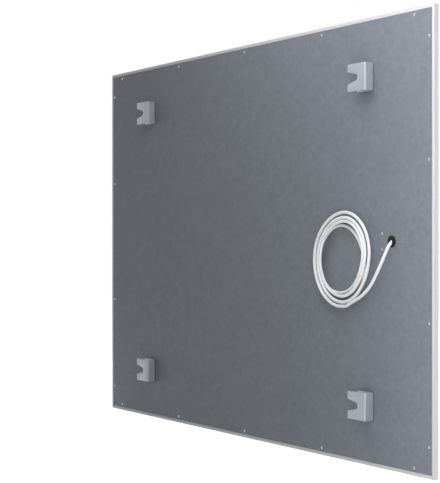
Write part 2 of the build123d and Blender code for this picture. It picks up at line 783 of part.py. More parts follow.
def build():
    """Every node of the heater by name."""
    nodes = {"front_tray": front_tray(), "back_plate": back_plate()}
    nodes["perimeter_rivets"] = rivet_group(edge_rivet_places(), plate_y, plate_sheet + tray_sheet)
    for name, (x, z) in bracket_places().items():
        nodes[name] = wall_bracket(x, z)
    foot_y = plate_y + bracket_sheet
    nodes["bracket_rivets"] = rivet_group(foot_rivet_places(), foot_y, plate_sheet + bracket_sheet)
    grip = plate_sheet + block_lug_height
    nodes["terminal_rivets"] = rivet_group(terminal_rivet_places(), plate_y, grip)
    nodes["lead_bushing"] = lead_bushing()
    nodes["bushing_lock_ring"] = bushing_lock_ring()
    nodes["terminal_block"] = terminal_block()
    nodes["terminal_clamps"] = terminal_clamps()
    nodes["terminal_screws"] = terminal_screws()
    nodes["front_film"] = layer(front_film_y, front_film_sheet)
    nodes["heating_carrier"] = layer(carrier_y, carrier_sheet)
    nodes["resistance_track"] = resistance_track()
    nodes["track_terminals"] = track_terminals()
    nodes["rear_film"] = layer(rear_film_y, rear_film_sheet) - film_windows(rear_film_y, foil_y)
    nodes["reflector_foil"] = layer(foil_y, foil_sheet) - film_windows(foil_y, board_y)
    nodes["insulation_board"] = insulation_board()
    nodes["thermal_cutout_upper"] = thermal_cutout(cutout_z)
    nodes["thermal_cutout_lower"] = thermal_cutout(-cutout_z)
    nodes["cutout_tapes"] = cutout_tapes()
    nodes["live_core"] = supply_core(-1, [(-3.9, 18.3), (9.4, 19.0)], (14.9, 13.0), pole_pitch)
    nodes["earth_core"] = supply_core(0, [(-0.8, 15.0), (9.4, 15.5)], (14.0, 5.5), 0)
    nodes["neutral_core"] = supply_core(1, [(1.9, 12.0), (8.4, 12.0)], (12.9, 0.0), -pole_pitch)
    nodes["live_wire"] = cutout_wire(1)
    nodes["neutral_wire"] = cutout_wire(-1)
    nodes["live_link"] = track_link(1)
    nodes["neutral_link"] = track_link(-1)
    nodes["earth_wire"] = earth_wire()
    nodes["earth_lug"] = earth_lug()
    nodes["earth_stud"] = earth_stud()
    nodes["earth_nut"] = earth_nut()

    route = lead_route()
    print("free stretch radii:", [round(radius, 1) for radius in corner_radii(route)])
    lead_path = tube_path(route)
    nodes["power_lead"] = tube(lead_path, lead_d)
    report_cord("free stretch", lead_path, nodes["power_lead"])

    winding = coil_path()
    nodes["power_lead_coil"] = tube(winding, lead_d)
    report_cord("coil", winding, nodes["power_lead_coil"])
    print(f"coil: least gap to itself {least_self_gap(winding, lead_d):.2f}")
    nodes["lead_end_cores"] = lead_end_cores()
    nodes["lead_end_ferrules"] = lead_end_ferrules()
    return nodes


os.makedirs("parts", exist_ok=True)
for node_name, node_shape in build().items():
    export_step(node_shape, f"parts/{node_name}.step")
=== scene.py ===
import math

import bmesh
import bpy
from bpy.props import FloatProperty, FloatVectorProperty, IntProperty, PointerProperty
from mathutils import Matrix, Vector


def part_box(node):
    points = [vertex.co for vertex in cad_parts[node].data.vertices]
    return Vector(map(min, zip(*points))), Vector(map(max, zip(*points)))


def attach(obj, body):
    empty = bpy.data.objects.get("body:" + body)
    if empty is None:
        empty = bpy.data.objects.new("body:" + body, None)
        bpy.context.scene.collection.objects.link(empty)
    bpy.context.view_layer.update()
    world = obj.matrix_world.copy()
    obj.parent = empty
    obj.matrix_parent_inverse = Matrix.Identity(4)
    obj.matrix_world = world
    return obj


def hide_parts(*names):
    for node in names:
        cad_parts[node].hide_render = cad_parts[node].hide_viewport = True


bl_info = {
    "name": "Infrared Panel Heater",
    "version": (1, 0, 0),
    "blender": (4, 5, 0),
    "location": "View3D > Sidebar > Heater",
    "description": "Dresses a packed infrared panel heater with its sheet metal, rivets and lead",
    "category": "Object",
}

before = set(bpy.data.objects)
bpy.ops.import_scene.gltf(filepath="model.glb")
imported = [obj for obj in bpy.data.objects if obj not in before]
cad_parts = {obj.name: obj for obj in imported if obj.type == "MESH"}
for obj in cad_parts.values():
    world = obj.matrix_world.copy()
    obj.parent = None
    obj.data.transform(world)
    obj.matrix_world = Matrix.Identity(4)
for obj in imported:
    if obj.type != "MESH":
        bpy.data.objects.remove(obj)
MM = 0.001


def middle(node):
    """The middle of a CAD node's box."""
    low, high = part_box(node)
    return (low + high) / 2


def linear(code):
    """The linear colour of an sRGB hex value."""
    channels = [int(code[i:i + 2], 16) / 255 for i in (1, 3, 5)]
    return [c / 12.92 if c <= 0.04045 else ((c + 0.055) / 1.055) ** 2.4 for c in channels]


# ---- Sizes that the frame gives, in metres
TRAY_LOW, TRAY_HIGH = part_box("front_tray")
PLATE_LOW, PLATE_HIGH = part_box("back_plate")
PLATE_Y = PLATE_HIGH.y
PLATE_SHEET = PLATE_HIGH.y - PLATE_LOW.y
BUSHING = middle("lead_bushing")
BRACKETS = ("top_left", "top_right", "bottom_left", "bottom_right")

# ---- The tray's folded section, in millimetres from its outer edge and from its lip
CORNER_ROUND = 3.0
FRONT_BEND = 1.5
LIP_ROUND = 0.4
LIP_WIDTH = 6.0
FLANGE_REACH = 22.0
TRAY_SHEET = 1.0
FLANGE_DROP = 1.2
SHARPEST_CORNER = 0.25
CORNER_STEPS = 6
BEND_STEPS = 6
NEAR_LOOP = 1.3  # of a bend's radius, from its corner to the loop that holds its shading
FAR_LOOP = 3.0  # and to the one on the front face

# ---- Degrees between faces from which an edge stays sharp, and from which it is deburred
FOLDED_CREASE = 40
TURNED_CREASE = 35
CUT_CREASE = 32
DEBURRED_EDGE = 50

# ---- What makes one face of a CAD node's triangles, in millimetres and degrees
WELD = 0.002
FLAT_WITHIN = 0.5

# ---- Rivets, in millimetres
CORNER_GAP = 40.1  # from a corner of the rivets' rectangle to the nearest rivet
INNER_GAP = 276.6  # between the two middle rivets of a short side
FOOT_RIVET_X = 24.0  # from a bracket's closed side
FOOT_RIVET_GAP = 30.0
BRACKET_SHEET = 2.0
BLOCK_LUG = 2.0
RIVET_SHANK = 2.9
RIVET_BULB = 4.2
RIVET_BULB_LENGTH = 1.6
PIN_PLAY = 0.2
HOLE_FLOOR = 0.3  # share of the head's rise at which the hole round the pin ends
PIN_END = (  # shares of the pin's radius and of the head's rise, from its middle out
    (0.0, 0.62), (0.7, 0.6), (1.0, 0.45), (1.0, HOLE_FLOOR),
)
DOME_STEPS = 6
RIVET_SEGMENTS = 24

# ---- The mains lead, in millimetres; its route is the CAD lead's
LEAD_LEAN = 42.0  # degrees between the lead and the back plate, where it comes out
LEAD_HEADING = 72.0  # degrees down from +X that it heads there
LEAD_INSIDE = 6.6  # along the lead, from its start to the back plate's face
LEAD_FIRST_RUN = 6.4  # and from there to its first bend's corner
LEAD_ROUTE = (  # x from the bushing, height above the back plate, z
    (5.0, 7.6, -15.0),
    (15.2, 10.6, -36.0),
    (29.6, 11.2, -57.5),
    (47.3, 11.0, -80.0),
    (73.6, 10.9, -98.2),
    (102.0, 11.4, -109.8),
)
COIL_FROM_BUSHING = (139.4, -33.0)  # x and z of the coil's middle
UPPER_LAYER = 10.2  # height of the lead's middle line above the back plate
LOWER_LAYER = 3.4
UPPER_TURNS = (  # radius of each upper turn at its bottom, +X side, top and -X side
    (85.0, 81.6, 85.2, 86.6),
    (77.2, 70.8, 75.9, 74.0),
    (66.6, 63.6, 69.1, 67.1),
)
TURN_LEAN = (-1.0, 0.0, 14.0, -15.0)  # growth per radian there, on top of the spiral's
LOWER_TURNS = (  # radius and its growth per radian there for the rest, on the back plate
    (60.2, 9.0), (74.5, -8.0), (62.3, -4.0), (64.0, 17.0),
    (78.3, 2.0), (81.4, -12.0),
)
POINTS_PER_TURN = 16

# ---- The camera that took the photograph, in metres and millimetres of lens
CAMERA_PLACE = (-2.4146, 1.4912, 0.0)
CAMERA_WAY = (0.8569, -0.5157, 0.0)
CAMERA_LENS = 103.9

# ---- The studio: each lamp's place, what it points at, its width and height, in metres, and watts
LAMPS = (
    ("lamp_end", (-0.82, 0.3, 0.08), (-0.62, 0.0, 0.04), 0.25, 1.3, 3.2),
    ("lamp_front", (-0.1, -2.8, 2.0), (0.0, 0.0, 0.0), 2.2, 2.2, 86),
    ("lamp_top", (-0.36, 0.32, 0.8), (-0.32, 0.0, 0.4), 0.6, 0.4, 3.1),
    ("lamp_side", (2.0, -0.2, 0.4), (0.6, 0.0, 0.0), 0.5, 1.2, 7.4),
    ("lamp_edge", (-2.0, -0.2, 0.2), (-0.6, 0.0, 0.0), 0.5, 1.2, 3.0),
)
WORLD_LIGHT = 0.15  # strength of the white world where it is neither seen nor mirrored
FLOOR_LIFT = 0.885  # added to the floor where it is seen, so that it meets the white world
FLOOR_REACH = 60.0
FLOOR_DROP = 0.5  # millimetres from the tray down to the floor

# ---- The back plate's zinc: lengths in millimetres, and shares
SPANGLE = 9.0
ROLLING_MARK = (300.0, 4.0, 4.0)
STAIN = 70.0
BUCKLE = 260.0
BUCKLE_DEPTH = 0.5
GRAIN_DEPTH = 0.006
ROLLING_SHARE = 0.3  # of rolling marks in the grain; the rest is spangles
STAIN_SHARE = 0.35  # of stains in the tone; the rest is grain
ZINC_SWING = 0.14  # how far the tone swings either way
ZINC_ROUGH = (0.44, 0.56)

# ---- The earth cores' stripes
STRIPE_SCALE = 1 / (2 * math.pi)  # per millimetre, which gives a Wave texture 2 mm bands
STRIPE_EDGE = (0.6, 0.64)  # of the wave's height: green below it and yellow above


# ---------------------------------------------------------------- settings a user would change

class HeaterSizes(bpy.types.PropertyGroup):
    lead_diameter: FloatProperty(
        name="Lead diameter", description="Outside diameter of the mains lead's sheath",
        default=6.0 * MM, unit="LENGTH")
    rivet_head: FloatProperty(
        name="Rivet head", description="Diameter of a blind rivet's domed head",
        default=5.4 * MM, unit="LENGTH")
    rivet_rise: FloatProperty(
        name="Rivet rise", description="Height of a blind rivet's head",
        default=1.0 * MM, unit="LENGTH")
    rivet_pin: FloatProperty(
        name="Rivet pin", description="Diameter of the broken pin in a rivet's middle",
        default=1.6 * MM, unit="LENGTH")
    deburr: FloatProperty(
        name="Deburring", description="Width of the softened edges of cut sheet and moulded parts",
        default=0.3 * MM, unit="LENGTH")
    long_side_rivets: IntProperty(
        name="Long side rivets", description="Rivets along the top and along the bottom",
        default=5)


class HeaterColours(bpy.types.PropertyGroup):
    coat: FloatVectorProperty(
        name="Powder coat", description="Colour of the tray's powder coat",
        default=linear("#D6D6D8"), subtype="COLOR", size=3, min=0, max=1)
    zinc: FloatVectorProperty(
        name="Galvanised sheet", description="Colour of the back plate's zinc",
        default=linear("#81878F"), subtype="COLOR", size=3, min=0, max=1)
    plating: FloatVectorProperty(
        name="Bracket plating", description="Colour of the wall brackets' zinc plating",
        default=linear("#B0B5BC"), subtype="COLOR", size=3, min=0, max=1)
    sheath: FloatVectorProperty(
        name="Lead sheath", description="Colour of the mains lead's sheath",
        default=linear("#F8F8FA"), subtype="COLOR", size=3, min=0, max=1)
    floor: FloatVectorProperty(
        name="Floor", description="Colour of the plain floor",
        default=linear("#EDEDED"), subtype="COLOR", size=3, min=0, max=1)


# ---------------------------------------------------------------- nodes and materials

def add(tree, kind, settings=None, values=None, links=None):
    """A node with its own settings, its inputs' values and what feeds its inputs.

    A Mix node's inputs share their names, so they go by number: 2 and 3 for values, 6 and 7 for
    colours.
    """
    node = tree.nodes.new(kind)
    for name, value in (settings or {}).items():
        setattr(node, name, value)
    for name, value in (values or {}).items():
        node.inputs[name].default_value = value
    for name, source in (links or {}).items():
        tree.links.new(source, node.inputs[name])
    return node


def seen_or_mirrored(tree):
    """1 for rays from the camera, from a mirror or through glass, and 0 for the rest."""
    path = add(tree, "ShaderNodeLightPath")
    either = add(tree, "ShaderNodeMath", {"operation": "MAXIMUM"},
                 links={0: path.outputs["Is Camera Ray"], 1: path.outputs["Is Glossy Ray"]})
    return add(tree, "ShaderNodeMath", {"operation": "MAXIMUM"},
               links={0: either.outputs[0], 1: path.outputs["Is Transmission Ray"]}).outputs[0]


def shade(colour, factor):
    """A colour made lighter or darker."""
    return [min(1.0, channel * factor) for channel in colour[:3]] + [1.0]


def surface(name, colour, contrast, rough, grain, relief, detail=3.0, **sockets):
    """A finish whose colour, roughness and relief follow one grain.

    contrast is how far the colour swings, rough is its lowest and highest roughness, grain is the
    grain's length along X, Y and Z and relief is its depth, both in millimetres.
    """
    material = bpy.data.materials.get(name)
    if material:
        return material
    material = bpy.data.materials.new(name)
    material.use_nodes = True
    tree = material.node_tree
    tree.nodes.clear()
    place = add(tree, "ShaderNodeTexCoord")
    scaled = add(tree, "ShaderNodeMapping",
                 values={"Scale": [1 / (length * MM) for length in grain]},
                 links={"Vector": place.outputs["Object"]})
    noise = add(tree, "ShaderNodeTexNoise", values={"Scale": 1.0, "Detail": detail},
                links={"Vector": scaled.outputs[0]})
    tint = add(tree, "ShaderNodeMix", {"data_type": "RGBA"},
               {6: shade(colour, 1 - contrast), 7: shade(colour, 1 + contrast)},
               {0: noise.outputs["Fac"]})
    gloss = add(tree, "ShaderNodeMapRange", values={"To Min": rough[0], "To Max": rough[1]},
                links={"Value": noise.outputs["Fac"]})
    bump = add(tree, "ShaderNodeBump", values={"Distance": relief * MM},
               links={"Height": noise.outputs["Fac"]})
    shader = add(tree, "ShaderNodeBsdfPrincipled", values=sockets, links={
        "Base Color": tint.outputs[2], "Roughness": gloss.outputs[0], "Normal": bump.outputs[0]})
    add(tree, "ShaderNodeOutputMaterial", links={"Surface": shader.outputs[0]})
    return material


def powder_coat(colour):
    """Polyester powder coat baked on steel: satin, with a fine orange peel.

    The real peel is about 1 mm across; it is drawn 2.5 mm across so that it shows.
    """
    return surface("white_polyester_powder_coat", colour, contrast=0.008, rough=(0.36, 0.46),
                   grain=(2.5, 2.5, 2.5), relief=0.02)


def galvanised_sheet(colour):
    """Hot-dip galvanised steel sheet: soft spangles on a dull, rolled, blue-grey zinc.

    The spangles are about 9 mm across, and the rolling marks run along X, some 4 mm apart and
    300 mm long. Both are soft, because the sheet was rolled again after it was dipped. Slow stains
    and a slight buckle keep the wide sheet from looking flat.
    """
    material = bpy.data.materials.new("hot_dip_galvanised_steel")
    material.use_nodes = True
    tree = material.node_tree
    tree.nodes.clear()
    place = add(tree, "ShaderNodeTexCoord")
    spangle = add(tree, "ShaderNodeTexVoronoi",
                  values={"Scale": 1 / (SPANGLE * MM), "Randomness": 1.0},
                  links={"Vector": place.outputs["Object"]})
    crystal = add(tree, "ShaderNodeSeparateColor", links={0: spangle.outputs["Color"]})
    stretched = add(tree, "ShaderNodeMapping",
                    values={"Scale": [1 / (length * MM) for length in ROLLING_MARK]},
                    links={"Vector": place.outputs["Object"]})
    rolling = add(tree, "ShaderNodeTexNoise", values={"Scale": 1.0, "Detail": 2.0},
                  links={"Vector": stretched.outputs[0]})
    stain = add(tree, "ShaderNodeTexNoise", values={"Scale": 1 / (STAIN * MM), "Detail": 3.0},
                links={"Vector": place.outputs["Object"]})
    both = add(tree, "ShaderNodeMix", values={0: ROLLING_SHARE},
               links={2: crystal.outputs[0], 3: rolling.outputs["Fac"]})
    tone = add(tree, "ShaderNodeMix", values={0: STAIN_SHARE},
               links={2: both.outputs[0], 3: stain.outputs["Fac"]})
    tint = add(tree, "ShaderNodeMix", {"data_type": "RGBA"},
               {6: shade(colour, 1 - ZINC_SWING), 7: shade(colour, 1 + ZINC_SWING)},
               {0: tone.outputs[0]})
    gloss = add(tree, "ShaderNodeMapRange",
                values={"To Min": ZINC_ROUGH[0], "To Max": ZINC_ROUGH[1]},
                links={"Value": tone.outputs[0]})
    wave = add(tree, "ShaderNodeTexNoise", values={"Scale": 1 / (BUCKLE * MM), "Detail": 0.0},
               links={"Vector": place.outputs["Object"]})
    buckle = add(tree, "ShaderNodeBump", values={"Distance": BUCKLE_DEPTH * MM},
                 links={"Height": wave.outputs["Fac"]})
    grain = add(tree, "ShaderNodeBump", values={"Distance": GRAIN_DEPTH * MM},
                links={"Height": both.outputs[0], "Normal": buckle.outputs[0]})
    shader = add(tree, "ShaderNodeBsdfPrincipled",
                 values={"Metallic": 0.1, "Specular IOR Level": 0.15},
                 links={"Base Color": tint.outputs[2], "Roughness": gloss.outputs[0],
                        "Normal": grain.outputs[0]})
    add(tree, "ShaderNodeOutputMaterial", links={"Surface": shader.outputs[0]})
    return material


def zinc_plate(colour):
    """Electroplated zinc on cut and folded steel: satin, with fine rolling marks along X."""
    return surface("zinc_plated_bracket_steel", colour, contrast=0.04, rough=(0.36, 0.48),
                   grain=(12, 0.8, 0.8), relief=0.006, Metallic=0.3)


def rivet_aluminium():
    """Bright drawn aluminium, with the small dents that the rivet tool leaves."""
    return surface("drawn_rivet_aluminium", linear("#B4B7BE"), contrast=0.05, rough=(0.34, 0.48),
                   grain=(0.7, 0.7, 0.7), relief=0.02, Metallic=1.0)


def small_steel():
    """Zinc-plated screws, nuts and rings: bright, turned and slightly rubbed."""
    return surface("zinc_plated_fastener_steel", linear("#C4C6C6"), contrast=0.06,
                   rough=(0.28, 0.45), grain=(1.2, 0.4, 0.4), relief=0.01, Metallic=1.0)


def black_nylon():
    """Moulded black polyamide: dull, with the fine grain of an eroded mould."""
    return surface("moulded_black_polyamide", linear("#0D0E12"), contrast=0.15, rough=(0.5, 0.62),
                   grain=(0.4, 0.4, 0.4), relief=0.02, **{"Specular IOR Level": 0.2})


def sheath_pvc(colour):
    """Extruded white PVC: glossy, with slow waves where it was pulled from the die."""
    return surface("extruded_white_pvc", colour, contrast=0.012, rough=(0.2, 0.3),
                   grain=(9, 9, 9), relief=0.03, IOR=1.53)


def core_pvc(name, code):
    """Extruded PVC insulation of one core: evenly coloured, with a dull shine."""
    return surface(name, linear(code), contrast=0.05, rough=(0.32, 0.42), grain=(2, 2, 2),
                   relief=0.01, IOR=1.53)


def brown_pvc():
    """Brown PVC insulation, for the live cores."""
    return core_pvc("brown_pvc_insulation", "#5A3320")


def blue_pvc():
    """Blue PVC insulation, for the neutral cores."""
    return core_pvc("blue_pvc_insulation", "#2F6DB5")


def earth_pvc():
    """Green PVC insulation with yellow stripes, one about every 2 mm, for the earth cores."""
    name = "green_yellow_pvc_insulation"
    if name in bpy.data.materials:
        return bpy.data.materials[name]
    material = core_pvc(name, "#3E8E2F")
    tree = material.node_tree
    shader = next(node for node in tree.nodes if node.type == "BSDF_PRINCIPLED")
    place = next(node for node in tree.nodes if node.type == "TEX_COORD")
    stripe = add(tree, "ShaderNodeTexWave", {"bands_direction": "Y"},
                 {"Scale": STRIPE_SCALE / MM}, {"Vector": place.outputs["Object"]})
    edge = add(tree, "ShaderNodeMapRange",
               values={"From Min": STRIPE_EDGE[0], "From Max": STRIPE_EDGE[1]},
               links={"Value": stripe.outputs["Fac"]})
    green = shader.inputs["Base Color"].links[0].from_socket
    both = add(tree, "ShaderNodeMix", {"data_type": "RGBA"}, {7: linear("#E3C81E") + [1.0]},
               {0: edge.outputs[0], 6: green})
    tree.links.new(both.outputs[2], shader.inputs["Base Color"])
    return material


def sealed_finishes():
    """The finishes of what the tray and the back plate shut in, by the CAD nodes that get them."""
    # Brass turned on a lathe: yellow, with fine rings
    brass = surface("turned_brass", linear("#C9A75F"), contrast=0.06, rough=(0.25, 0.4),
                    grain=(1, 0.3, 0.3), relief=0.008, Metallic=1.0)
    # Polyamide in a spark-eroded mould: cream and even
    block = surface("moulded_cream_polyamide", linear("#E2DCCB"), contrast=0.03, rough=(0.4, 0.5),
                    grain=(0.5, 0.5, 0.5), relief=0.01, IOR=1.53)
    # Stretched polyester film: glossy, with slow waves where it is glued down
    film = surface("amber_polyester_film", linear("#C48B3C"), contrast=0.04, rough=(0.14, 0.24),
                   grain=(30, 30, 30), relief=0.08, IOR=1.6)
    # Woven glass in a black coating: dull and speckled
    carrier = surface("coated_glass_cloth", linear("#2A2B2E"), contrast=0.25, rough=(0.5, 0.65),
                      grain=(0.6, 0.6, 0.6), relief=0.05)
    # Cold-rolled strip: long fine marks along it
    track = surface("rolled_resistance_strip", linear("#A7A198"), contrast=0.05, rough=(0.3, 0.42),
                    grain=(25, 0.5, 0.5), relief=0.004, Metallic=1.0)
    # Thin foil laid by hand: bright, with small creases
    foil = surface("crinkled_aluminium_foil", linear("#DCDEE0"), contrast=0.03, rough=(0.16, 0.3),
                   grain=(8, 8, 8), relief=0.25, detail=5.0, Metallic=1.0)
    # Felted and pressed fibre: chalky, with a loose grain
    board = surface("pressed_mineral_fibre", linear("#CFC6AE"), contrast=0.16, rough=(0.88, 0.98),
                    grain=(3, 0.8, 3), relief=0.3, detail=6.0)
    # Pressed phenolic resin: black with a low shine
    phenolic = surface("moulded_black_phenolic", linear("#26262A"), contrast=0.1,
                       rough=(0.34, 0.46), grain=(0.5, 0.5, 0.5), relief=0.015, IOR=1.6)
    return {
        brass: ("terminal_clamps", "track_terminals"),
        block: ("terminal_block",),
        film: ("front_film", "rear_film"),
        carrier: ("heating_carrier",),
        track: ("resistance_track",),
        foil: ("reflector_foil", "cutout_tapes"),
        board: ("insulation_board",),
        phenolic: ("thermal_cutout_upper", "thermal_cutout_lower"),
        brown_pvc(): ("live_core", "live_wire", "live_link"),
        blue_pvc(): ("neutral_core", "neutral_wire", "neutral_link"),
        earth_pvc(): ("earth_core", "earth_wire"),
        small_steel(): ("terminal_screws", "bushing_lock_ring", "earth_lug", "earth_stud",
                        "earth_nut", "lead_end_ferrules"),
    }


def paint(node_name, material):
    """Gives a CAD node its material."""
    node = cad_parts[node_name]
    if not node.material_slots:
        node.data.materials.append(material)
    for slot in node.material_slots:
        slot.material = material


# ---------------------------------------------------------------- meshes

def new_piece(name, mesh, material):
    """A piece at the origin that rides on the one body."""
    piece = bpy.data.objects.new(name, mesh)
    bpy.context.scene.collection.objects.link(piece)
    if material:
        mesh.materials.append(material)
    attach(piece, "root")
    return piece


def smooth(mesh, degrees):
    """Smooth shading that stays sharp at edges steeper than this."""
    mesh.shade_smooth()
    mesh.set_sharp_from_angle(angle=math.radians(degrees))


def plain_mesh(piece):
    """Replaces a piece's mesh by what its modifiers make of it, and takes them off."""
    graph = bpy.context.evaluated_depsgraph_get()
    mesh = bpy.data.meshes.new_from_object(piece.evaluated_get(graph), depsgraph=graph)
    piece.modifiers.clear()
    piece.data = mesh


def rounded_loop(inset, depth):
    """A round-cornered rectangle, inset from the tray's outer edge, at a depth behind its lip."""
    radius = max(CORNER_ROUND - inset, SHARPEST_CORNER) * MM
    half_x = TRAY_HIGH.x - inset * MM - radius
    half_z = TRAY_HIGH.z - inset * MM - radius
    y = TRAY_HIGH.y - depth * MM
    loop = []
    for turn, (side_x, side_z) in enumerate(((1, 1), (-1, 1), (-1, -1), (1, -1))):
        for step in range(CORNER_STEPS + 1):
            angle = math.radians(90 * (turn + step / CORNER_STEPS))
            loop.append((side_x * half_x + radius * math.cos(angle), y,
                         side_z * half_z + radius * math.sin(angle)))
    return loop


def tray_section():
    """The tray's section from the middle of its front, round its lip, to its inside."""
    depth = (TRAY_HIGH.y - TRAY_LOW.y) / MM
    section = [(FAR_LOOP * FRONT_BEND, depth), (NEAR_LOOP * FRONT_BEND, depth)]
    for step in range(BEND_STEPS + 1):
        angle = math.radians(90 * step / BEND_STEPS)
        section.append((FRONT_BEND * (1 - math.sin(angle)),
                        depth - FRONT_BEND * (1 - math.cos(angle))))
    section.append((0.0, depth - NEAR_LOOP * FRONT_BEND))
    section.append((0.0, NEAR_LOOP * LIP_ROUND))
    for step in range(BEND_STEPS + 1):
        angle = math.radians(90 * step / BEND_STEPS)
        section.append((LIP_ROUND * (1 - math.cos(angle)), LIP_ROUND * (1 - math.sin(angle))))
    lip_end = LIP_WIDTH - LIP_ROUND / 2
    step_inside = LIP_WIDTH - TRAY_SHEET
    flange_inside = FLANGE_DROP + TRAY_SHEET
    section += [(NEAR_LOOP * LIP_ROUND, 0.0), (lip_end, 0.0), (LIP_WIDTH, LIP_ROUND / 2)]
    section += [(LIP_WIDTH, FLANGE_DROP), (FLANGE_REACH, FLANGE_DROP)]
    section += [(FLANGE_REACH, flange_inside), (step_inside, flange_inside)]
    section += [(step_inside, TRAY_SHEET), (TRAY_SHEET, TRAY_SHEET)]
    section += [(TRAY_SHEET, depth - TRAY_SHEET)]
    return section


def tray_mesh():
    """The folded tray as loops round its section, closed by its front face inside and out."""
    shape = bmesh.new()
    loops = [[shape.verts.new(point) for point in rounded_loop(inset, depth)]
             for inset, depth in tray_section()]
    for first, second in zip(loops, loops[1:]):
        for i in range(len(first)):
            j = (i + 1) % len(first)
            shape.faces.new((first[i], first[j], second[j], second[i]))
    shape.faces.new(loops[0])
    shape.faces.new(loops[-1])
    bmesh.ops.recalc_face_normals(shape, faces=shape.faces)
    mesh = bpy.data.meshes.new("front_tray_folded")
    shape.to_mesh(mesh)
    shape.free()
    smooth(mesh, FOLDED_CREASE)
    return mesh


def lathe(name, profile, segments):
    """A closed solid turned about the Y axis from (radius, y) points, in metres."""
    shape = bmesh.new()
    rings = []
    for radius, y in profile:
        if radius == 0:
            rings.append([shape.verts.new((0, y, 0))])
            continue
        turns = [2 * math.pi * i / segments for i in range(segments)]
        rings.append([shape.verts.new((radius * math.cos(turn), y, radius * math.sin(turn)))
                      for turn in turns])
    for first, second in zip(rings, rings[1:]):
        for i in range(segments):
            j = (i + 1) % segments
            corners = [first[i % len(first)], first[j % len(first)],
                       second[j % len(second)], second[i % len(second)]]
            shape.faces.new(list(dict.fromkeys(corners)))
    bmesh.ops.recalc_face_normals(shape, faces=shape.faces)
    mesh = bpy.data.meshes.new(name)
    shape.to_mesh(mesh)
    shape.free()
    smooth(mesh, TURNED_CREASE)
    return mesh


def rivet_mesh(sizes, grip):
    """A set blind rivet: its head with the broken pin, its shank and its end behind the grip."""
    head = sizes.rivet_head / 2
    rise = sizes.rivet_rise
    pin = sizes.rivet_pin / 2
    rim = rise / 4
    hole = pin + PIN_PLAY * MM
    crown = rise - rim
    dome = (head**2 + crown**2) / (2 * crown)
    profile = [(pin * out, rise * up) for out, up in PIN_END]
    profile.append((hole, rise * HOLE_FLOOR))
    for step in range(DOME_STEPS + 1):
        radius = hole + (head - hole) * step / DOME_STEPS
        profile.append((radius, rise - dome + math.sqrt(dome**2 - radius**2)))
    shank = RIVET_SHANK / 2 * MM
    bulb = RIVET_BULB / 2 * MM
    bulb_middle = -grip - RIVET_BULB_LENGTH / 2 * MM
    bulb_end = -grip - RIVET_BULB_LENGTH * MM
    profile += [(head, rim / 2), (head - rim / 2, 0), (shank, 0), (shank, -grip), (bulb, -grip)]
    profile += [(bulb, bulb_middle), (shank, bulb_end), (0, bulb_end)]
    return lathe("rivet", profile, RIVET_SEGMENTS)


def rivet_tree():
    """Geometry nodes that add an even grid of rivets to what comes in."""
    tree = bpy.data.node_groups.get("rivet_grid")
    if tree:
        return tree
    tree = bpy.data.node_groups.new("rivet_grid", "GeometryNodeTree")
    tree.interface.new_socket("Geometry", in_out="OUTPUT", socket_type="NodeSocketGeometry")
    for name, kind in (("Geometry", "Geometry"), ("Rivet", "Object"), ("Material", "Material"),
                       ("Columns", "Int"), ("Rows", "Int"), ("Width", "Float"),
                       ("Height", "Float"), ("Centre", "Vector"), ("Seed", "Int")):
        tree.interface.new_socket(name, in_out="INPUT", socket_type="NodeSocket" + kind)
    given = add(tree, "NodeGroupInput").outputs
    grid = add(tree, "GeometryNodeMeshGrid", links={
        "Size X": given["Width"], "Size Y": given["Height"],
        "Vertices X": given["Columns"], "Vertices Y": given["Rows"]})
    upright = add(tree, "GeometryNodeTransform", values={"Rotation": (math.pi / 2, 0, 0)},
                  links={"Geometry": grid.outputs["Mesh"], "Translation": given["Centre"]})
    rivet = add(tree, "GeometryNodeObjectInfo", links={"Object": given["Rivet"]})
    spin = add(tree, "FunctionNodeRandomValue", {"data_type": "FLOAT_VECTOR"},
               {0: (0, 0, 0), 1: (0, 2 * math.pi, 0)}, {"Seed": given["Seed"]})
    placed = add(tree, "GeometryNodeInstanceOnPoints", links={
        "Points": upright.outputs[0], "Instance": rivet.outputs["Geometry"],
        "Rotation": spin.outputs[0]})
    real = add(tree, "GeometryNodeRealizeInstances", links={0: placed.outputs[0]})
    both = add(tree, "GeometryNodeJoinGeometry", links={0: real.outputs[0]})
    tree.links.new(given["Geometry"], both.inputs[0])
    painted = add(tree, "GeometryNodeSetMaterial",
                  links={"Geometry": both.outputs[0], "Material": given["Material"]})
    add(tree, "NodeGroupOutput", links={0: painted.outputs[0]})
    return tree


def rivets(node_name, rivet, grids):
    """One piece of rivets, with one geometry nodes modifier for each even grid of them."""
    material = rivet_aluminium()
    piece = bpy.data.objects.new(node_name + "_set", bpy.data.meshes.new(node_name + "_set"))
    bpy.context.scene.collection.objects.link(piece)
    tree = rivet_tree()
    keys = {item.name: item.identifier for item in tree.interface.items_tree
            if item.in_out == "INPUT"}
    for seed, (columns, rows, width, height, centre) in enumerate(grids):
        modifier = piece.modifiers.new("rivets", "NODES")
        modifier.node_group = tree
        values = {"Rivet": rivet, "Material": material, "Columns": columns, "Rows": rows,
                  "Width": width, "Height": height, "Centre": centre, "Seed": seed}
        for name, value in values.items():
            modifier[keys[name]] = value
    plain_mesh(piece)
    piece.data.name = piece.name
    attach(piece, "root")
    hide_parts(node_name)


def cad_copy(node_name, name):
    """A welded copy of a CAD node's mesh, with flat faces made one."""
    shape = bmesh.new()
    shape.from_mesh(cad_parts[node_name].data)
    bmesh.ops.remove_doubles(shape, verts=shape.verts, dist=WELD * MM)
    bmesh.ops.dissolve_limit(shape, angle_limit=math.radians(FLAT_WITHIN), verts=shape.verts,
                             edges=shape.edges)
    mesh = bpy.data.meshes.new(name)
    shape.to_mesh(mesh)
    shape.free()
    for layer in ("custom_normal", "sharp_edge"):
        if layer in mesh.attributes:
            mesh.attributes.remove(mesh.attributes[layer])
    return mesh


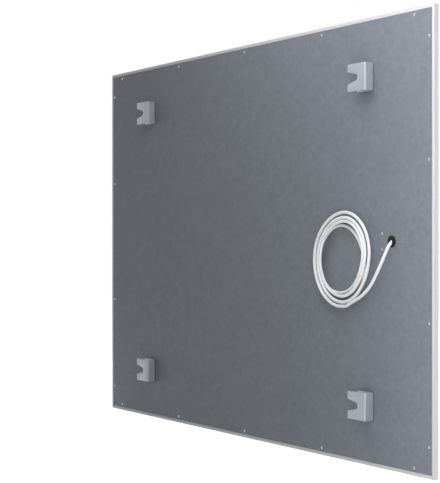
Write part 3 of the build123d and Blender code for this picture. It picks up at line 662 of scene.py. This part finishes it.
def deburred(node_name, material, width):
    """A CAD node's copy with softened edges, in the node's place."""
    name = node_name + "_deburred"
    piece = new_piece(name, cad_copy(node_name, name), material)
    bevel = piece.modifiers.new("deburring", "BEVEL")
    bevel.width = width
    bevel.segments = 2
    bevel.limit_method = "ANGLE"
    bevel.angle_limit = math.radians(DEBURRED_EDGE)
    plain_mesh(piece)
    smooth(piece.data, CUT_CREASE)
    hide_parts(node_name)


# ---------------------------------------------------------------- the mains lead

def along_lead(distance):
    """A point on the lead's axis, in millimetres from the back plate's face at the bushing."""
    lean = math.radians(LEAD_LEAN)
    heading = math.radians(LEAD_HEADING)
    way = Vector((math.cos(lean) * math.cos(heading), math.sin(lean),
                  -math.cos(lean) * math.sin(heading)))
    return Vector((BUSHING.x, PLATE_Y, BUSHING.z)) + way * distance * MM


def blend(start, end, slope_in, slope_out, share):
    """A smooth value between two, a quarter turn apart, with slopes per radian."""
    reach = math.pi / 2
    a = share * share * (3 - 2 * share)
    b = share * (1 - share) ** 2
    c = -share * share * (1 - share)
    return start + (end - start) * a + reach * (slope_in * b + slope_out * c)


def coil_quarters():
    """Radius, its growth per radian and height at each quarter turn, in millimetres."""
    radii = [radius for turn in UPPER_TURNS for radius in turn] + [LOWER_TURNS[0][0]]
    quarters = [(radii[0], 0.0, UPPER_LAYER)]
    for i in range(1, len(radii) - 1):
        growth = TURN_LEAN[i % 4] + (radii[i + 1] - radii[i - 1]) / math.pi
        quarters.append((radii[i], growth, UPPER_LAYER))
    return quarters + [(radius, growth, LOWER_LAYER) for radius, growth in LOWER_TURNS]


def coil_point(radius, height, angle):
    """A point of the coil by radius and height in millimetres and angle in radians."""
    x, z = COIL_FROM_BUSHING
    return Vector((BUSHING.x + (x + radius * math.cos(angle)) * MM, PLATE_Y + height * MM,
                   BUSHING.z + (z + radius * math.sin(angle)) * MM))


def coil_points():
    """The coil's control points, round its turns from the bottom.

    They lie outside the turns by as much as the spline cuts inside them.
    """
    quarters = coil_quarters()
    outside = 1 / math.cos(math.pi / POINTS_PER_TURN)
    per_quarter = POINTS_PER_TURN // 4
    points = []
    for i, (first, second) in enumerate(zip(quarters, quarters[1:])):
        for step in range(per_quarter):
            share = (step + 0.5) / per_quarter
            radius = blend(first[0], second[0], first[1], second[1], share)
            height = blend(first[2], second[2], 0.0, 0.0, share)
            points.append(coil_point(radius * outside, height, math.pi / 2 * (i + share - 1)))
    return points


def lead_points(diameter):
    """The lead's control points, from inside the bushing to its bare end."""
    bottom = coil_point(UPPER_TURNS[0][0], UPPER_LAYER, -math.pi / 2)
    joint = bottom - Vector((diameter, 0, 0))
    radius, growth = LOWER_TURNS[-1]
    end = coil_point(radius, LOWER_LAYER, 0.0)
    onward = Vector((growth, 0, radius)).normalized() * diameter
    points = [along_lead(-LEAD_INSIDE), along_lead(LEAD_FIRST_RUN)]
    points += [Vector((BUSHING.x + x * MM, PLATE_Y + height * MM, BUSHING.z + z * MM))
               for x, height, z in LEAD_ROUTE]
    points += [joint - Vector((2 * diameter, 0, 0)), joint]
    return points + coil_points() + [end, end + onward]


def lead_curve(diameter):
    """The lead's sheath as a round NURBS curve."""
    curve = bpy.data.curves.new("mains_lead", "CURVE")
    curve.dimensions = "3D"
    curve.bevel_depth = diameter / 2
    curve.bevel_resolution = 6
    curve.resolution_u = 8
    curve.use_fill_caps = True
    places = lead_points(diameter)
    spline = curve.splines.new("NURBS")
    spline.points.add(len(places) - 1)
    for point, place in zip(spline.points, places):
        point.co = (*place, 1.0)
    spline.order_u = 3
    spline.use_endpoint_u = True
    return curve


def split_islands(mesh):
    """The faces of each separate solid of a mesh, sorted by the solid's lowest X."""
    shape = bmesh.new()
    shape.from_mesh(mesh)
    shape.faces.ensure_lookup_table()
    left = set(range(len(shape.faces)))
    islands = []
    while left:
        found = [left.pop()]
        for index in found:
            for edge in shape.faces[index].edges:
                near = {face.index for face in edge.link_faces} & left
                left -= near
                found += near
        low_x = min(vert.co.x for index in found for vert in shape.faces[index].verts)
        islands.append((low_x, found))
    shape.free()
    return [found for _, found in sorted(islands)]


# ---------------------------------------------------------------- operators

class HEATER_OT_stage(bpy.types.Operator):
    """Sets the camera, the soft lamps, the white background and the pale floor"""
    bl_idname = "heater.stage"
    bl_label = "Stage"

    def execute(self, context):
        scene = context.scene
        scene.view_settings.view_transform = "Standard"
        camera = bpy.data.objects.new("camera", bpy.data.cameras.new("camera"))
        scene.collection.objects.link(camera)
        camera.data.lens = CAMERA_LENS
        camera.location = CAMERA_PLACE
        camera.rotation_euler = Vector(CAMERA_WAY).to_track_quat("-Z", "Y").to_euler()
        scene.camera = camera
        for name, place, aim, width, height, power in LAMPS:
            light = bpy.data.lights.new(name, "AREA")
            light.shape = "RECTANGLE"
            light.size = width
            light.size_y = height
            light.energy = power
            lamp = bpy.data.objects.new(name, light)
            lamp.location = place
            lamp.rotation_euler = (Vector(place) - Vector(aim)).to_track_quat("Z", "Y").to_euler()
            lamp.visible_camera = False
            scene.collection.objects.link(lamp)
        self.white_world(scene)
        self.floor(context)
        return {"FINISHED"}

    def white_world(self, scene):
        """White where it is seen or mirrored, and a softer light elsewhere."""
        world = bpy.data.worlds.new("white_studio")
        world.use_nodes = True
        tree = world.node_tree
        tree.nodes.clear()
        strength = add(tree, "ShaderNodeMapRange",
                       values={"To Min": WORLD_LIGHT, "To Max": 1.0},
                       links={"Value": seen_or_mirrored(tree)})
        light = add(tree, "ShaderNodeBackground", values={"Color": (1, 1, 1, 1)},
                    links={"Strength": strength.outputs[0]})
        add(tree, "ShaderNodeOutputWorld", links={"Surface": light.outputs[0]})
        scene.world = world

    def floor(self, context):
        """A plain floor under the panel that keeps its shadow."""
        level = TRAY_LOW.z - FLOOR_DROP * MM
        corners = [(x * FLOOR_REACH, y * FLOOR_REACH, level)
                   for x, y in ((-1, -1), (1, -1), (1, 1), (-1, 1))]
        mesh = bpy.data.meshes.new("floor")
        mesh.from_pydata(corners, [], [(0, 1, 2, 3)])
        floor = bpy.data.objects.new("floor", mesh)
        context.scene.collection.objects.link(floor)
        material = bpy.data.materials.new("plain_pale_floor")
        material.use_nodes = True
        tree = material.node_tree
        tree.nodes.clear()
        lift = add(tree, "ShaderNodeMath", {"operation": "MULTIPLY"}, {1: FLOOR_LIFT},
                   {0: seen_or_mirrored(tree)})
        glow = add(tree, "ShaderNodeEmission", values={"Color": (1, 1, 1, 1)},
                   links={"Strength": lift.outputs[0]})
        matte = add(tree, "ShaderNodeBsdfDiffuse",
                    values={"Color": (*context.scene.heater_colours.floor, 1.0)})
        both = add(tree, "ShaderNodeAddShader", links={0: matte.outputs[0], 1: glow.outputs[0]})
        add(tree, "ShaderNodeOutputMaterial", links={"Surface": both.outputs[0]})
        mesh.materials.append(material)


class HEATER_OT_lead(bpy.types.Operator):
    """Lays the mains lead from its bushing into its loose coil, with its bare cores at the end"""
    bl_idname = "heater.lead"
    bl_label = "Mains lead"

    def execute(self, context):
        diameter = context.scene.heater_sizes.lead_diameter
        lead = new_piece("mains_lead", lead_curve(diameter),
                         sheath_pvc(context.scene.heater_colours.sheath))
        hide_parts("power_lead", "power_lead_coil")
        name = "lead_end_cores_coloured"
        cores = new_piece(name, cad_copy("lead_end_cores", name), None)
        cores.data.materials.clear()
        for material in (brown_pvc(), earth_pvc(), blue_pvc()):
            cores.data.materials.append(material)
        for index, island in enumerate(split_islands(cores.data)):
            for face in island:
                cores.data.polygons[face].material_index = index
        smooth(cores.data, FOLDED_CREASE)
        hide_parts("lead_end_cores")
        return {"FINISHED"}


class HEATER_OT_tray(bpy.types.Operator):
    """Folds the powder-coated tray with its lip and its stepped flange"""
    bl_idname = "heater.tray"
    bl_label = "Front tray"

    def execute(self, context):
        tray = new_piece("front_tray_folded", tray_mesh(),
                         powder_coat(context.scene.heater_colours.coat))
        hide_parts("front_tray")
        return {"FINISHED"}


class HEATER_OT_back_plate(bpy.types.Operator):
    """Gives the back plate its galvanised finish"""
    bl_idname = "heater.back_plate"
    bl_label = "Back plate"

    def execute(self, context):
        paint("back_plate", galvanised_sheet(context.scene.heater_colours.zinc))
        return {"FINISHED"}


class HEATER_OT_rivets(bpy.types.Operator):
    """Sets the blind rivets round the plate, in the brackets' feet and beside the bushing"""
    bl_idname = "heater.rivets"
    bl_label = "Rivets"

    def execute(self, context):
        sizes = context.scene.heater_sizes
        low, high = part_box("perimeter_rivets")
        reach_x = high.x - low.x - sizes.rivet_head
        reach_z = high.z - low.z - sizes.rivet_head
        short_x = reach_x - 2 * CORNER_GAP * MM
        short_z = reach_z - 2 * CORNER_GAP * MM
        level = (0, PLATE_Y, 0)
        self.set_rivets(sizes, "perimeter_rivets", PLATE_SHEET + TRAY_SHEET * MM, [
            (sizes.long_side_rivets, 2, short_x, reach_z, level),
            (2, 2, reach_x, short_z, level),
            (2, 2, reach_x, INNER_GAP * MM, level),
        ])
        feet = []
        for name in BRACKETS:
            low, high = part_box("wall_bracket_" + name)
            place = (low.x + FOOT_RIVET_X * MM, PLATE_Y + BRACKET_SHEET * MM, (low.z + high.z) / 2)
            feet.append((1, 2, 0.0, FOOT_RIVET_GAP * MM, place))
        self.set_rivets(sizes, "bracket_rivets", PLATE_SHEET + BRACKET_SHEET * MM, feet)
        low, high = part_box("terminal_rivets")
        pair = (1, 2, 0.0, high.z - low.z - sizes.rivet_head, ((low.x + high.x) / 2, PLATE_Y, 0))
        self.set_rivets(sizes, "terminal_rivets", PLATE_SHEET + BLOCK_LUG * MM, [pair])
        return {"FINISHED"}

    def set_rivets(self, sizes, node_name, grip, grids):
        """One group of rivets with the same grip."""
        rivet = bpy.data.objects.new("rivet", rivet_mesh(sizes, grip))
        bpy.context.scene.collection.objects.link(rivet)
        rivets(node_name, rivet, grids)
        bpy.data.objects.remove(rivet)


class HEATER_OT_brackets(bpy.types.Operator):
    """Makes the four notched wall brackets with deburred edges"""
    bl_idname = "heater.brackets"
    bl_label = "Wall brackets"

    def execute(self, context):
        material = zinc_plate(context.scene.heater_colours.plating)
        width = context.scene.heater_sizes.deburr
        for name in BRACKETS:
            deburred("wall_bracket_" + name, material, width)
        return {"FINISHED"}


class HEATER_OT_bushing(bpy.types.Operator):
    """Moulds the black bushing round the lead"""
    bl_idname = "heater.bushing"
    bl_label = "Lead bushing"

    def execute(self, context):
        width = context.scene.heater_sizes.deburr / 2
        deburred("lead_bushing", black_nylon(), width)
        return {"FINISHED"}


class HEATER_OT_inside(bpy.types.Operator):
    """Gives each sealed part inside the tray its finish"""
    bl_idname = "heater.inside"
    bl_label = "Inside parts"

    def execute(self, context):
        for material, nodes in sealed_finishes().items():
            for node_name in nodes:
                paint(node_name, material)
        return {"FINISHED"}


class HEATER_PT_panel(bpy.types.Panel):
    """The heater's sizes, colours and pieces"""
    bl_idname = "HEATER_PT_panel"
    bl_label = "Infrared Panel Heater"
    bl_space_type = "VIEW_3D"
    bl_region_type = "UI"
    bl_category = "Heater"

    def draw(self, context):
        for group in (context.scene.heater_sizes, context.scene.heater_colours):
            for name in group.__annotations__:
                self.layout.prop(group, name)
        for operator in OPERATORS:
            self.layout.operator(operator.bl_idname)


OPERATORS = (HEATER_OT_stage, HEATER_OT_lead, HEATER_OT_tray, HEATER_OT_back_plate,
             HEATER_OT_rivets, HEATER_OT_brackets, HEATER_OT_bushing, HEATER_OT_inside)
CLASSES = (HeaterSizes, HeaterColours, *OPERATORS, HEATER_PT_panel)


def register():
    for item in CLASSES:
        bpy.utils.register_class(item)
    bpy.types.Scene.heater_sizes = PointerProperty(type=HeaterSizes)
    bpy.types.Scene.heater_colours = PointerProperty(type=HeaterColours)


def unregister():
    del bpy.types.Scene.heater_colours
    del bpy.types.Scene.heater_sizes
    for item in reversed(CLASSES):
        bpy.utils.unregister_class(item)


def main():
    register()
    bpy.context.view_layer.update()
    bpy.ops.heater.stage()
    bpy.ops.heater.lead()
    bpy.ops.heater.tray()
    bpy.ops.heater.back_plate()
    bpy.ops.heater.rivets()
    bpy.ops.heater.brackets()
    bpy.ops.heater.bushing()
    bpy.ops.heater.inside()


if __name__ == "__main__":
    main()
